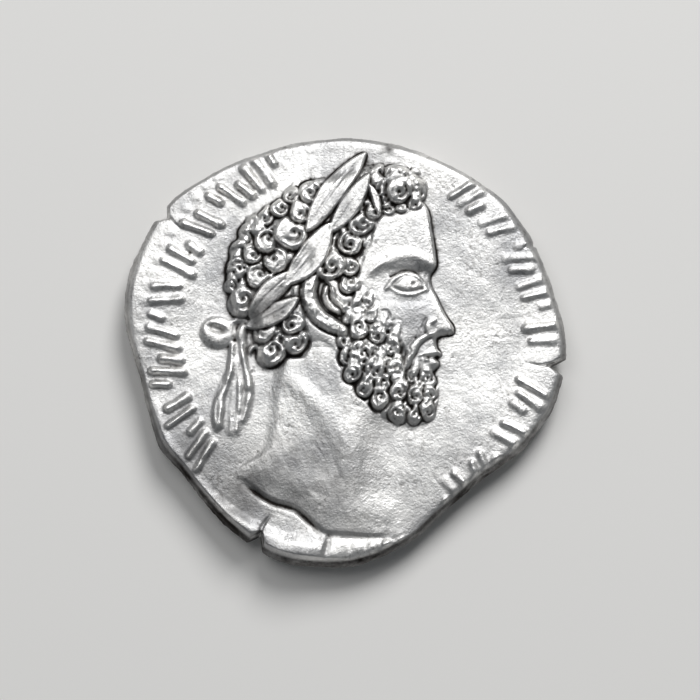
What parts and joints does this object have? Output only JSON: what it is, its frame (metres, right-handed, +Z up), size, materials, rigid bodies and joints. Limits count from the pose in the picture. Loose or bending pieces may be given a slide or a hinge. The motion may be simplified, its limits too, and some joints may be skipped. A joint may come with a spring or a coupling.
{
  "type": "denarius coin",
  "caption": "Worn struck silver coin lying flat: laurelled, bearded bust in profile with tied ribbons on top, horn of plenty below, irregular split edge.",
  "frame": {"origin": "bottom centre of the coin's bounding box, on the plane that the reverse rests on", "axes": "+Z up out of the portrait side, +Y towards the top of the portrait, +X the way the portrait faces"},
  "size_m": [0.018, 0.0176, 0.0022],
  "materials": {
    "silver": null
  },
  "bodies": {
    "root": {"coin": "silver"}
  },
  "joints": []
}
